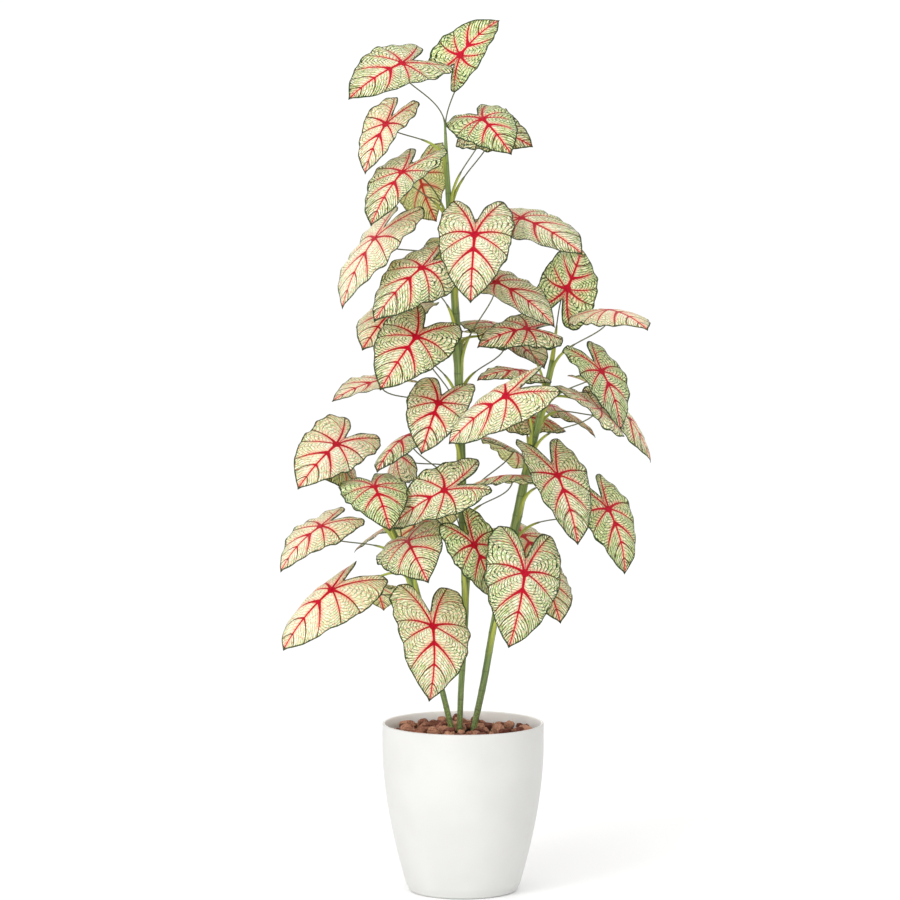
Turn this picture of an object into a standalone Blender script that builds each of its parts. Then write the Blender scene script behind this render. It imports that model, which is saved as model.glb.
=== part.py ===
"""A caladium of three leafy stems in a white pot of bark-topped soil.

Metres, +Z up, origin at the middle of the pot's foot.
"""

import math
import random
from collections import namedtuple

import bmesh
import bpy
import numpy as np
from mathutils import Matrix, Vector

# Pot
POT_HEIGHT = 0.310
POT_TOP_RADIUS = 0.148
POT_BASE_RADIUS = 0.101
POT_STRAIGHT_FROM = 0.265  # above this height the wall stands straight
POT_WALL = 0.0048
POT_FLOOR = 0.006
POT_FLOOR_INSET = 0.002
POT_FOOT_ROUND = 0.007
POT_LIP_ROUND = 0.0015
POT_TAPER_POWER = 1.75
POT_SIDES = 40
POT_OUTSIDE_LEVELS = (0.262, 0.228, 0.190, 0.150, 0.110, 0.070, 0.035)
POT_INSIDE_LEVELS = (0.283, 0.225, 0.165, 0.105, 0.050, 0.020)

# Soil and the bark chips on it
FIT = 0.0003  # gap between pieces that touch
SOIL_TOP = 0.283
CHIP_BED = 0.005
CHIP_RADIUS = 0.017
CHIP_SPACING = 0.034
CHIP_ROOM = 0.0185  # from the pot's wall to the nearest chip's middle
CHIP_FLATNESS = (0.45, 0.66)  # thinnest and thickest chip, as shares of its length
CHIP_LEAN = 0.25
CHIP_SEED = 7

# Stems
STEM_POINTS = 13
STEM_ROUND = 3
HOLE_ROOM = 0.0005

# Leaf stalks
STALK_POINTS = 5
STALK_ROUND = 1
STALK_SHEATH_RADIUS = 0.0044
STALK_MIDDLE_RADIUS = 0.0021
STALK_TIP_RADIUS = 0.0016
STALK_LAST_STRAIGHT = 0.006
STALK_NARROW_FROM = 0.45  # share of the stalk that its sheath wraps
STALK_RISE = 0.40  # how far the stalk keeps to the stem's way, in stem-to-blade distances
STALK_ARRIVE = 0.30

# Blades, in knot-to-tip lengths where they have no unit
BLADE_THICK = 0.0010
BLADE_ROWS = 10
BLADE_COLUMNS = 2
HALF_OUTLINE = (
    (0.0, 1.0), (0.04, 0.95), (0.13, 0.87), (0.26, 0.72), (0.40, 0.48), (0.49, 0.22), (0.53, -0.04),
    (0.53, -0.28), (0.48, -0.48), (0.38, -0.60), (0.25, -0.59), (0.12, -0.41), (0.0, -0.22),
)
VEIN_FOOT_FROM = 0.30  # veins that end above this level leave the midrib, the others leave the knot
VEIN_FOOT_POWER = 1.8
VEIN_SAG = 0.07
HALF_WIDTH = max(x for x, _y in HALF_OUTLINE)
LEAST_CURL = 0.001  # radians a length, under which a half blade counts as flat
RIPPLES = 2.5
LEFT_RIPPLE_SHIFT = 1.7  # radians by which the left margin's ripples trail the right's
LOBE_DROOP = 0.6  # droop of the lobes, as a share of the droop toward the tip

Stem = namedtuple("Stem", "points radii")
STEMS = {
    "center": Stem(
        ((-0.006, 0.010, 0.150), (-0.006, 0.010, 0.300), (-0.004, 0.006, 0.365), (0.004, 0.004, 0.535),
         (-0.002, 0.002, 0.735), (-0.009, 0.0, 0.965), (-0.017, 0.0, 1.115), (-0.028, 0.0, 1.295),
         (-0.033, 0.0, 1.405)),
        (0.0052, 0.0052, 0.0054, 0.0066, 0.0082, 0.0082, 0.0070, 0.0052, 0.0032),
    ),
    "left": Stem(
        ((-0.022, 0.010, 0.150), (-0.022, 0.010, 0.300), (-0.040, 0.004, 0.375), (-0.064, -0.006, 0.465),
         (-0.090, -0.014, 0.565), (-0.112, -0.014, 0.625), (-0.131, -0.012, 0.670)),
        (0.0053, 0.0053, 0.0056, 0.0066, 0.0078, 0.0068, 0.0050),
    ),
    "right": Stem(
        ((0.020, 0.010, 0.150), (0.020, 0.010, 0.300), (0.038, 0.006, 0.385), (0.057, 0.002, 0.495),
         (0.078, 0.0, 0.595), (0.100, 0.0, 0.695), (0.120, 0.004, 0.795), (0.146, 0.010, 0.895),
         (0.162, 0.014, 0.975)),
        (0.0057, 0.0057, 0.0066, 0.0070, 0.0082, 0.0090, 0.0074, 0.0064, 0.0040),
    ),
}

Leaf = namedtuple("Leaf", "name stem node knot heading pitch roll length left right droop ripple phase")
# Height of the stalk's foot on its stem, then the knot where stalk and blade meet, in millimetres.
# Then heading, pitch and roll of the line from knot to tip in degrees, and its length in millimetres.
# Then how far the left and the right half bend down from the midrib to their margins, in degrees.
LEAF_ROWS = (
    ("leaf_center_01", 1405, (-110, -60, 1515), 210, -30, -35, 130, -10, 15),
    ("leaf_center_02", 1395, (-5, -10, 1530), 20, 40, 35, 100, -20, -15),
    ("leaf_center_03", 1335, (-140, -30, 1405), 205, -65, -15, 100, 0, -15),
    ("leaf_center_04", 1255, (35, -50, 1415), 305, -35, 30, 110, 35, 15),
    ("leaf_center_05", 1245, (45, 40, 1395), 340, -20, 45, 95, 10, 15),
    ("leaf_center_06", 1215, (-110, -70, 1320), 225, -50, -5, 125, -10, 10),
    ("leaf_center_07", 1205, (-80, 55, 1310), 65, -50, -60, 115, 15, 20),
    ("leaf_center_08", 1135, (-160, -60, 1200), 215, -60, 5, 145, 25, 15),
    ("leaf_center_09", 1025, (-75, -115, 1150), 205, -45, -20, 135, 100, 10),
    ("leaf_center_10", 1095, (20, -120, 1210), 260, -70, -5, 130, 15, 25),
    ("leaf_center_11", 1125, (105, -10, 1235), 325, -25, 25, 150, 40, -15),
    ("leaf_center_12", 960, (60, -40, 1120), 340, -35, 25, 140, 25, -25),
    ("leaf_center_13", 905, (80, 100, 1010), 310, -25, 5, 120, -15, -30),
    ("leaf_center_14", 1000, (65, 40, 1035), 135, 0, 0, 105, 40, 25),
    ("leaf_center_15", 995, (-125, 10, 1070), 235, -35, -25, 125, -30, 65),
    ("leaf_center_16", 895, (-85, -100, 1025), 225, -45, -35, 130, 15, 15),
    ("leaf_center_17", 865, (-150, 0, 940), 205, -20, -15, 105, -20, 15),
    ("leaf_center_18", 795, (-45, -85, 905), 240, -55, -25, 110, -25, 15),
    ("leaf_center_19", 695, (95, 70, 805), 225, 15, -15, 115, 15, 30),
    ("leaf_center_20", 665, (90, -85, 775), 200, -15, 0, 95, 20, 50),
    ("leaf_center_21", 720, (-100, -10, 840), 230, -35, 0, 110, 20, 80),
    ("leaf_center_22", 745, (-120, 120, 790), 100, -30, -60, 115, 85, 15),
    ("leaf_center_23", 610, (-35, -120, 750), 175, -35, -35, 125, 10, -15),
    ("leaf_center_24", 565, (110, 80, 645), 305, -35, 10, 115, 30, 15),
    ("leaf_center_25", 535, (20, -110, 650), 35, -70, 75, 105, 0, 25),
    ("leaf_center_26", 1065, (-10, 90, 1180), 95, -45, 0, 125, 20, 10),
    ("leaf_center_27", 865, (-75, 100, 995), 125, -40, 0, 125, 10, 25),
    ("leaf_center_28", 615, (-45, 120, 715), 90, -50, 0, 105, 15, 15),
    ("leaf_right_01", 965, (190, 30, 1105), 70, 40, 40, 110, -30, 0),
    ("leaf_right_02", 955, (265, -30, 1070), 305, -15, 5, 120, 45, 40),
    ("leaf_right_03", 910, (115, -20, 1035), 190, -20, -30, 100, 20, 10),
    ("leaf_right_04", 875, (250, -60, 960), 330, -70, 10, 115, 5, 0),
    ("leaf_right_05", 895, (260, 30, 910), 140, 20, 15, 95, -30, 20),
    ("leaf_right_06", 850, (290, 120, 880), 5, -60, 20, 120, 35, 30),
    ("leaf_right_07", 825, (100, -25, 960), 210, -10, -10, 90, 30, 15),
    ("leaf_right_08", 800, (245, -90, 895), 185, 25, -5, 100, 30, -20),
    ("leaf_right_09", 795, (75, -175, 925), 165, -40, -55, 140, -10, 75),
    ("leaf_right_10", 790, (120, 80, 865), 30, -20, 30, 90, 55, 15),
    ("leaf_right_11", 705, (170, -100, 775), 310, -65, 5, 135, 15, -25),
    ("leaf_right_12", 640, (265, -20, 705), 340, -75, 25, 125, 20, 10),
    ("leaf_right_13", 525, (140, -60, 595), 295, -45, 5, 120, 45, 15),
    ("leaf_right_14", 460, (110, -160, 605), 215, -75, -75, 140, 15, 20),
    ("leaf_right_15", 845, (165, 90, 885), 350, -35, 0, 100, 15, 20),
    ("leaf_left_01", 645, (-230, -30, 825), 220, -40, -25, 120, 20, -15),
    ("leaf_left_02", 635, (-215, 30, 785), 250, -10, -55, 115, 25, 15),
    ("leaf_left_03", 625, (-160, -100, 755), 290, -40, 10, 115, 20, 25),
    ("leaf_left_04", 605, (-260, -30, 675), 205, -45, -10, 115, 30, 10),
    ("leaf_left_05", 540, (-100, -90, 655), 290, -30, 30, 130, 5, 25),
    ("leaf_left_06", 575, (-240, -40, 560), 195, -50, -40, 145, 10, 95),
    ("leaf_left_07", 525, (-170, 60, 560), 75, -35, 0, 110, 15, 20),
    ("leaf_left_08", 485, (-55, -130, 505), 260, -75, -40, 140, -10, 10),
    ("leaf_left_09", 565, (-90, 140, 665), 95, -50, 0, 100, 15, 20),
    ("leaf_left_10", 615, (-120, 55, 675), 180, -35, 0, 100, 15, 20),
)


def leaf_from_row(row):
    """A leaf in metres and radians, with its own droop and ripples drawn from a seed that is its name."""
    name, node, knot, *angles = row
    heading, pitch, roll, left, right = (math.radians(angle) for angle in (*angles[:3], *angles[4:]))
    chance = random.Random(name)
    return Leaf(
        name, name.split("_")[1], node / 1000, Vector(knot) / 1000, heading, pitch, roll, angles[3] / 1000,
        left, right, droop=chance.uniform(0.45, 0.75), ripple=chance.uniform(0.020, 0.034),
        phase=chance.uniform(0, 2 * math.pi),
    )


def outline():
    """The right half of the flat blade, tip to sinus, at even steps of its own length."""
    corners = [np.array(point, float) for point in HALF_OUTLINE]
    line = smooth_line(corners, 12)
    along = np.concatenate([[0], np.cumsum(np.linalg.norm(np.diff(line, axis=0), axis=1))])
    return along / along[-1], line


def smooth_line(corners, steps):
    """A Catmull-Rom line through the corners, with so many steps from each to the next."""
    ends = [2 * corners[0] - corners[1], *corners, 2 * corners[-1] - corners[-2]]
    line = []
    for a, b, c, d in zip(ends, ends[1:], ends[2:], ends[3:]):
        for t in np.arange(steps) / steps:
            bow = (2 * a - 5 * b + 4 * c - d) * t**2 + (3 * b - a - 3 * c + d) * t**3
            line.append(0.5 * (2 * b + (c - a) * t + bow))
    line.append(corners[-1])
    return np.array(line)


OUTLINE_AT, OUTLINE = outline()


def flat_blade(across, around):
    """Flat coordinates, right and toward the tip, of a point that lies a share of the way along its vein.

    across runs from 0 on the midrib to 1 or -1 on the right or left margin.
    around runs from 0 at the tip to 1 at the sinus, and picks the vein.
    """
    reach = np.abs(across)
    end_x = np.interp(around, OUTLINE_AT, OUTLINE[:, 0])
    end_y = np.interp(around, OUTLINE_AT, OUTLINE[:, 1])
    rise = np.clip((end_y - VEIN_FOOT_FROM) / (1 - VEIN_FOOT_FROM), 0, 1)
    foot_y = rise**VEIN_FOOT_POWER
    sag = VEIN_SAG * 4 * reach * (1 - reach) * np.sin(np.pi * around)
    x = reach * end_x + sag * (end_y - foot_y) * 0.5
    y = foot_y + reach * (end_y - foot_y) - sag * end_x
    return np.sign(across) * np.maximum(x, 0), y


def bent_blade(leaf, across, around):
    """Points of the blade's upper face in its own frame: knot at the origin, tip on +Y, face to +Z."""
    x, y = flat_blade(across, around)
    phase = leaf.phase + np.where(across < 0, LEFT_RIPPLE_SHIFT, 0)
    ripple = leaf.ripple * across**2 * np.sin(np.pi * around) ** 0.7
    ripple = ripple * np.sin(2 * np.pi * RIPPLES * around + phase)
    curl = np.where(across < 0, leaf.left, leaf.right) / HALF_WIDTH
    curl = np.where(np.abs(curl) < LEAST_CURL, LEAST_CURL, curl)
    lift = ripple - (1 - np.cos(curl * x)) / curl
    x = np.sin(curl * x) / curl
    bend = np.where(y > 0, leaf.droop, LOBE_DROOP * leaf.droop)
    turn = bend * y
    along = np.sin(turn) / bend + lift * np.sin(turn)
    up = -(1 - np.cos(turn)) / bend + lift * np.cos(turn)
    half = leaf.droop / 2
    level = along * math.cos(half) - up * math.sin(half)
    raised = along * math.sin(half) + up * math.cos(half)
    return leaf.length * np.stack([x, level, raised], axis=-1)


def blade_frame(leaf):
    """Rotation that turns a blade from its own frame to its place on the plant."""
    heading, pitch, roll = leaf.heading, leaf.pitch, leaf.roll
    way = Vector((math.cos(heading), math.sin(heading), 0))
    up = Vector((0, 0, 1))
    tip = way * math.cos(pitch) + up * math.sin(pitch)
    face = up * math.cos(pitch) - way * math.sin(pitch)
    face = Matrix.Rotation(roll, 3, tip) @ face
    side = tip.cross(face)
    return Matrix((side, tip, face)).transposed()


def mesh_object(name, form, collection):
    """A mesh object made from a bmesh, which is freed."""
    mesh = bpy.data.meshes.new(name)
    form.to_mesh(mesh)
    form.free()
    thing = bpy.data.objects.new(name, mesh)
    collection.objects.link(thing)
    return thing


def add_blade(leaf, collection):
    """One leaf blade: a grid laid along its veins, bent, waved and given its thickness."""
    form = bmesh.new()
    bmesh.ops.create_grid(form, x_segments=2 * BLADE_COLUMNS, y_segments=BLADE_ROWS, size=0.5)
    corners = list(form.verts)
    across = np.array([2 * corner.co.x for corner in corners])
    around = np.array([0.5 - corner.co.y for corner in corners])
    frame = blade_frame(leaf)
    for corner, point in zip(corners, bent_blade(leaf, across, around)):
        corner.co = leaf.knot + frame @ Vector(point)
    bmesh.ops.remove_doubles(form, verts=form.verts, dist=0.0001)
    bmesh.ops.triangulate(form, faces=form.faces)
    blade = mesh_object(leaf.name, form, collection)
    thickness = blade.modifiers.new("thickness", "SOLIDIFY")
    thickness.thickness = BLADE_THICK
    thickness.offset = -1
    return blade


def stem_line(stem):
    """Points and radii up a stem: a straight foot in the soil, then a smooth line."""
    corners = [np.array((*point, radius), float) for point, radius in zip(stem.points, stem.radii)]
    line = smooth_line(corners[1:], 10)
    heights = np.linspace(line[0, 2], line[-1, 2], STEM_POINTS)
    rows = [np.interp(heights, line[:, 2], line[:, column]) for column in range(4)]
    return [tuple(corners[0]), *zip(*rows)]


def stem_place(stem, height):
    """Middle and direction of a stem at one height."""
    line = np.array(stem_line(stem))
    below = Vector([float(np.interp(height - 0.01, line[:, 2], line[:, axis])) for axis in range(3)])
    above = Vector([float(np.interp(height + 0.01, line[:, 2], line[:, axis])) for axis in range(3)])
    return (below + above) / 2, (above - below).normalized()


def stalk_line(leaf):
    """Points and radii of a leaf stalk, from the middle of its stem to just under the blade's knot.

    The more a half blade bends down, the lower the stalk ends.
    """
    foot, up = stem_place(STEMS[leaf.stem], leaf.node)
    arrive = blade_frame(leaf) @ Vector((0, -math.sin(leaf.droop / 2), math.cos(leaf.droop / 2)))
    fall = STALK_TIP_RADIUS * math.tan(max(leaf.left, leaf.right, 0) / (2 * BLADE_COLUMNS))
    top = leaf.knot - arrive * (BLADE_THICK + FIT + fall)
    end = top - arrive * STALK_LAST_STRAIGHT
    far = (end - foot).length
    first = foot + up * (STALK_RISE * far)
    last = end - arrive * (STALK_ARRIVE * far)
    line = []
    for step in range(STALK_POINTS):
        t = step / (STALK_POINTS - 1)
        point = foot * (1 - t) ** 3 + first * 3 * t * (1 - t) ** 2 + last * 3 * t * t * (1 - t) + end * t**3
        radii = (STALK_SHEATH_RADIUS, STALK_MIDDLE_RADIUS, STALK_TIP_RADIUS)
        radius = np.interp(t, (0, STALK_NARROW_FROM, 1), radii)
        line.append((*point, float(radius)))
    return [*line, (*top, STALK_TIP_RADIUS)]


def add_tube(name, line, roundness, collection):
    """A capped round tube along a line of points and radii."""
    curve = bpy.data.curves.new(name, "CURVE")
    curve.dimensions = "3D"
    curve.bevel_depth = 1.0
    curve.bevel_resolution = roundness
    curve.use_fill_caps = True
    spline = curve.splines.new("POLY")
    spline.points.add(len(line) - 1)
    for point, (x, y, z, radius) in zip(spline.points, line):
        point.co = (x, y, z, 1)
        point.radius = radius
    wire = bpy.data.objects.new(name + "_line", curve)
    collection.objects.link(wire)
    bpy.context.view_layer.update()
    mesh = bpy.data.meshes.new_from_object(wire.evaluated_get(bpy.context.evaluated_depsgraph_get()))
    tube = bpy.data.objects.new(name, mesh)
    tube.matrix_world = wire.matrix_world
    collection.objects.link(tube)
    bpy.data.objects.remove(wire)
    form = bmesh.new()
    form.from_mesh(mesh)
    bmesh.ops.remove_doubles(form, verts=form.verts, dist=0.00001)
    bmesh.ops.recalc_face_normals(form, faces=form.faces)
    form.to_mesh(mesh)
    form.free()
    return tube


def join_parts(thing, parts):
    """Unite a body with every object of a collection, which is emptied."""
    union = thing.modifiers.new("union", "BOOLEAN")
    union.operation = "UNION"
    union.operand_type = "COLLECTION"
    union.collection = parts
    union.solver = "MANIFOLD"
    bpy.context.view_layer.update()
    mesh = bpy.data.meshes.new_from_object(thing.evaluated_get(bpy.context.evaluated_depsgraph_get()))
    thing.modifiers.clear()
    thing.data = mesh
    for piece in list(parts.objects):
        bpy.data.objects.remove(piece)


def add_stem(name, leaves, collection, parts):
    """One stem with the stalks of all its leaves, fused."""
    thing = add_tube("stem_" + name, stem_line(STEMS[name]), STEM_ROUND, collection)
    for leaf in leaves:
        add_tube("stalk", stalk_line(leaf), STALK_ROUND, parts)
    join_parts(thing, parts)
    return thing


def pot_radius(height):
    """Outer radius of the pot: straight under the rim, then drawn in more and more toward the foot."""
    fall = max(0.0, POT_STRAIGHT_FROM - height) / POT_STRAIGHT_FROM
    return POT_TOP_RADIUS - (POT_TOP_RADIUS - POT_BASE_RADIUS) * fall**POT_TAPER_POWER


def turned_object(name, profile, sides, collection):
    """A body turned round the upright axis from a profile that runs down its outer side."""
    mesh = bpy.data.meshes.new(name)
    mesh.from_pydata([(x, 0, z) for x, z in profile], [(i, i + 1) for i in range(len(profile) - 1)], [])
    thing = bpy.data.objects.new(name, mesh)
    collection.objects.link(thing)
    turn = thing.modifiers.new("turn", "SCREW")
    turn.angle = 2 * math.pi
    turn.steps = sides
    turn.render_steps = sides
    turn.use_merge_vertices = True
    turn.merge_threshold = 0.00005
    turn.use_smooth_shade = True
    return thing


def add_pot(collection):
    """The pot: a tapering tub with a thin wall, a rounded lip and a flat foot."""
    inside = [(pot_radius(z) - POT_WALL, z) for z in reversed(POT_INSIDE_LEVELS)]
    outside = [(pot_radius(z), z) for z in POT_OUTSIDE_LEVELS]
    mouth = POT_TOP_RADIUS - POT_WALL
    lip = [
        (mouth, POT_HEIGHT - POT_LIP_ROUND), (mouth + POT_LIP_ROUND, POT_HEIGHT),
        (POT_TOP_RADIUS - POT_LIP_ROUND, POT_HEIGHT), (POT_TOP_RADIUS, POT_HEIGHT - POT_LIP_ROUND),
    ]
    foot = pot_radius(0)
    inset = POT_FOOT_ROUND * 0.3
    base = [(foot, POT_FOOT_ROUND), (foot - inset, inset), (foot - POT_FOOT_ROUND, 0)]
    floor = [(0, POT_FLOOR), (foot - POT_WALL - POT_FLOOR_INSET, POT_FLOOR)]
    return turned_object("pot", [*floor, *inside, *lip, *outside, *base, (0, 0)], POT_SIDES, collection)


def add_holes(cutters):
    """Upright cutters for the holes that the stems stand in."""
    holes = []
    for stem in STEMS.values():
        x, y, foot = stem.points[0]
        radius = stem.radii[0] + HOLE_ROOM
        bottom = foot - FIT
        top = POT_HEIGHT
        form = bmesh.new()
        bmesh.ops.create_cone(
            form, cap_ends=True, segments=16, radius1=radius, radius2=radius, depth=top - bottom,
            matrix=Matrix.Translation((x, y, (top + bottom) / 2)),
        )
        hole = mesh_object("hole", form, cutters)
        hole.hide_render = True
        hole.display_type = "WIRE"
        holes.append(hole)
    return holes


def cut_holes(thing, cutters, solver="EXACT"):
    """Take the stem holes out of a body."""
    cut = thing.modifiers.new("holes", "BOOLEAN")
    cut.operation = "DIFFERENCE"
    cut.operand_type = "COLLECTION"
    cut.collection = cutters
    cut.solver = solver


def add_soil(collection, cutters):
    """The soil: fills the pot from its floor and carries the stems."""
    side = [(pot_radius(z) - POT_WALL - FIT, z) for z in (SOIL_TOP, *POT_INSIDE_LEVELS[1:])]
    bottom = POT_FLOOR + FIT
    edge = pot_radius(0) - POT_WALL - POT_FLOOR_INSET - FIT
    soil = turned_object("soil", [(0, SOIL_TOP), *side, (edge, bottom), (0, bottom)], POT_SIDES, collection)
    cut_holes(soil, cutters)
    return soil


def chip_places():
    """Middles of the bark chips: rings of even steps that fill the pot's mouth."""
    chance = random.Random(CHIP_SEED)
    reach = POT_TOP_RADIUS - POT_WALL - CHIP_ROOM
    rings = round(reach / CHIP_SPACING)
    places = [(0.0, 0.0)]
    for ring in range(1, rings + 1):
        radius = reach * ring / rings
        count = round(2 * math.pi * radius / CHIP_SPACING)
        start = chance.uniform(0, 2 * math.pi)
        for step in range(count):
            angle = start + 2 * math.pi * step / count
            near = radius - chance.uniform(0, 0.004)
            places.append((near * math.cos(angle), near * math.sin(angle)))
    return places, chance


def add_chips(collection, cutters, parts):
    """The bark chips on the soil: blunt lumps of mixed size, fused with a thin bed."""
    bed_radius = POT_TOP_RADIUS - POT_WALL - FIT
    low = SOIL_TOP + FIT
    high = low + CHIP_BED
    section = [(0, high), (bed_radius, high), (bed_radius, low), (0, low)]
    bed = turned_object("chips", section, POT_SIDES, collection)
    places, chance = chip_places()
    for x, y in places:
        form = bmesh.new()
        bmesh.ops.create_icosphere(form, subdivisions=1, radius=1)
        size = CHIP_RADIUS * chance.uniform(0.86, 1.0)
        stretch = Vector((1, chance.uniform(0.78, 1.0), chance.uniform(*CHIP_FLATNESS))) * size
        turn = Matrix.Rotation(chance.uniform(0, 2 * math.pi), 4, "Z")
        lean = Matrix.Rotation(chance.uniform(-CHIP_LEAN, CHIP_LEAN), 4, "X")
        place = Matrix.Translation((x, y, high + chance.uniform(0.0005, 0.0045)))
        form.transform(place @ turn @ lean @ Matrix.Diagonal((*stretch, 1)))
        keep_above(form, low + 0.001)
        mesh_object("chip", form, parts)
    join_parts(bed, parts)
    cut_holes(bed, cutters, "MANIFOLD")
    return bed


def keep_above(form, level):
    """Flatten whatever reaches below a level."""
    for corner in form.verts:
        corner.co.z = max(corner.co.z, level)


def add_material(name, colour, roughness):
    """A plain material."""
    material = bpy.data.materials.new(name)
    material.use_nodes = True
    shader = material.node_tree.nodes["Principled BSDF"]
    shader.inputs["Base Color"].default_value = (*colour, 1)
    shader.inputs["Roughness"].default_value = roughness
    material.diffuse_color = (*colour, 1)
    return material


def dress(thing, material):
    """Give a body its material and smooth shading."""
    thing.data.materials.clear()
    thing.data.materials.append(material)
    for face in thing.data.polygons:
        face.use_smooth = True


def build():
    """The whole plant in its pot."""
    for thing in list(bpy.data.objects):
        bpy.data.objects.remove(thing)
    plant = bpy.data.collections.new("caladium")
    cutters = bpy.data.collections.new("cutters")
    parts = bpy.data.collections.new("loose_parts")
    for collection in (plant, cutters, parts):
        bpy.context.scene.collection.children.link(collection)
    leaves = [leaf_from_row(row) for row in LEAF_ROWS]
    add_holes(cutters)
    dress(add_pot(plant), add_material("pot_white", (0.88, 0.87, 0.84), 0.35))
    dress(add_soil(plant, cutters), add_material("soil_brown", (0.09, 0.05, 0.03), 0.95))
    dress(add_chips(plant, cutters, parts), add_material("chips_bark", (0.28, 0.12, 0.08), 0.85))
    stem_green = add_material("stem_green", (0.20, 0.27, 0.07), 0.5)
    for name in STEMS:
        own = [leaf for leaf in leaves if leaf.stem == name]
        dress(add_stem(name, own, plant, parts), stem_green)
    leaf_cream = add_material("leaf_cream", (0.74, 0.74, 0.52), 0.5)
    for leaf in leaves:
        dress(add_blade(leaf, plant), leaf_cream)


if __name__ == "__main__":
    build()
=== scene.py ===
"""The finish of a caladium: veined blades, sheathed stems, bark chips and a white satin pot."""

import math
import random
from collections import namedtuple

import bmesh
import bpy
import numpy as np
from mathutils import Matrix, Vector, noise


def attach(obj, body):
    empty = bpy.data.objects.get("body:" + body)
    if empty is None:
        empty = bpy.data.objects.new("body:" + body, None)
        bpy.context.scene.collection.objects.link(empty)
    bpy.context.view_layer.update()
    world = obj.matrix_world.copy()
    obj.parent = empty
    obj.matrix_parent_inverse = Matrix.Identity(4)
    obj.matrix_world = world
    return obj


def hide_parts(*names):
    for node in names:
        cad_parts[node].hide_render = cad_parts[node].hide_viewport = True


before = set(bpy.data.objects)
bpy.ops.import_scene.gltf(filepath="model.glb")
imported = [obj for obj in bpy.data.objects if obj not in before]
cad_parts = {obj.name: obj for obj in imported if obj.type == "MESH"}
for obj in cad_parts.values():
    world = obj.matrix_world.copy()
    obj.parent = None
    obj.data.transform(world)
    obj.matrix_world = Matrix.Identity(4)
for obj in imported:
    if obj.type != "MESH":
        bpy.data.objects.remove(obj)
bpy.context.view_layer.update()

MM = 0.001

# View, floor, surrounding and lamps
CAMERA_PLACE = (-0.024, -8.0, 1.555)
CAMERA_TARGET = (-0.024, 0.0, 0.812)
CAMERA_LENS = 176.2  # millimetres, on Blender's sensor of 36 mm
CAMERA_FAR = 60
FLOOR_SIZE = 400
SURROUND_STRENGTH = 1.03
# name, place, what it shines at, size and watts
LAMPS = (
    ("key", (-2.6, -3.4, 3.2), (0, 0, 0.8), 1.6, 70),
    ("front", (-1.8, -4.6, 1.1), (0, 0, 0.7), 2.4, 60),
)

# Pot, as its solid
POT_HEIGHT = 0.310
POT_TOP_RADIUS = 0.148
POT_BASE_RADIUS = 0.101
POT_STRAIGHT_FROM = 0.265
POT_TAPER_POWER = 1.75
POT_WALL = 0.0048
POT_FLOOR = 0.006
POT_LIP_ROUND = 0.0022
POT_FOOT_ROUND = 0.007
POT_SIDES = 160
POT_SEAM = 0.00005
POT_INNER_HEIGHTS = (0.020, 0.300, 29)  # up the inside wall: from, to and number
POT_OUTER_HEIGHTS = (0.300, 0.012, 40)
FLOOR_INSET = 0.002  # from the inside wall
FOOT_RING = (0.016, 0.018)  # from the foot's edge in to its raised disc
FOOT_RISE = 0.0012
QUARTER_STEPS = 5

# Bark chips on the soil
CHIP_LOW = 0.2858
CHIP_SEED = 11
CHIP_SIZES = (0.0115, 0.0190)  # half lengths
CHIP_REACH = 0.136
CHIP_SHAPES = 110
CHIP_TRIES = 6000
CHIP_CUTS = 9
CHIP_CUT_DEPTHS = (0.42, 0.80)
CHIP_WIDTHS = (0.58, 0.95)
CHIP_HEIGHTS = (0.48, 0.72)
CHIP_LEAN = 0.45
CHIP_CREASE = math.radians(35)
CHIP_SPACING = (0.62, 0.68)  # in their sizes, of the lower and of the upper ones
CHIP_LOWER_SHARE = 0.62
CHIP_UPPER_RISE = 0.005
CHIP_SUNK = 0.002
CHIP_OFF_WALL = 0.0006
CHIP_OFF_STEM = 0.005
CHIP_STEM_GAP = 0.75  # in their sizes, like the next two
CHIP_INSET = 0.55
CHIP_REST = 0.34
CHIP_ROUGHNESS = ((1.6, 0.06), (4.2, 0.05))  # scale and height
CHIP_FIBRES = Vector((2.0, 9.0, 9.0))
CHIP_FIBRE_HEIGHT = 0.030

# Stems and stalks
TRUNK_RINGS = 120
TRUNK_SIDES = 28
TRUNK_SHRINK = 0.99
TRUNK_EDGE = 0.035
TRUNK_RING = 0.05
STEM_STEP = 0.01  # up and down a stem, for its direction
STALK_RINGS = 22
STALK_SIDES = 12
STALK_RISE = 0.40
STALK_ARRIVE = 0.30
STALK_LAST_STRAIGHT = 0.006
SHEATH_LENGTH = 0.062
SHEATH_RADIUS = 0.0050
BARE_FROM = 1.35  # height above which stalks have no sheath
BARE_FOOT_RADIUS = 0.0019
STRAP_LENGTH = 0.070  # from the foot of a sheath up to its node
STRAP_RINGS = 8
STRAP_OFFSET_FOOT = 0.30  # from the trunk's middle, in trunk radii
STRAP_OFFSET = 0.85
STRAP_FLATNESS = 0.40
STRAP_NARROWEST = 0.6
CHANNEL_DEPTH = 0.35
CHANNEL_WIDTH = 0.36
SHEATH_END_RINGS = (0.7, 1.0, 5)  # from, to and number, as shares of a sheath
NODE_AT = 0.4
BARE_SHEATH_SHARE = 0.12
MOST_SHEATH_SHARE = 0.6
STALK_END_AT = 0.8  # of a blade's thickness, below its upper face
STEEPEST = 0.05  # sine of a stalk's angle from upright
SCARS = 23
STALK_RADIUS = 0.0012
STALK_TOP_RADIUS = 0.0016
STALK_WIDENS_AT = 0.85

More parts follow.
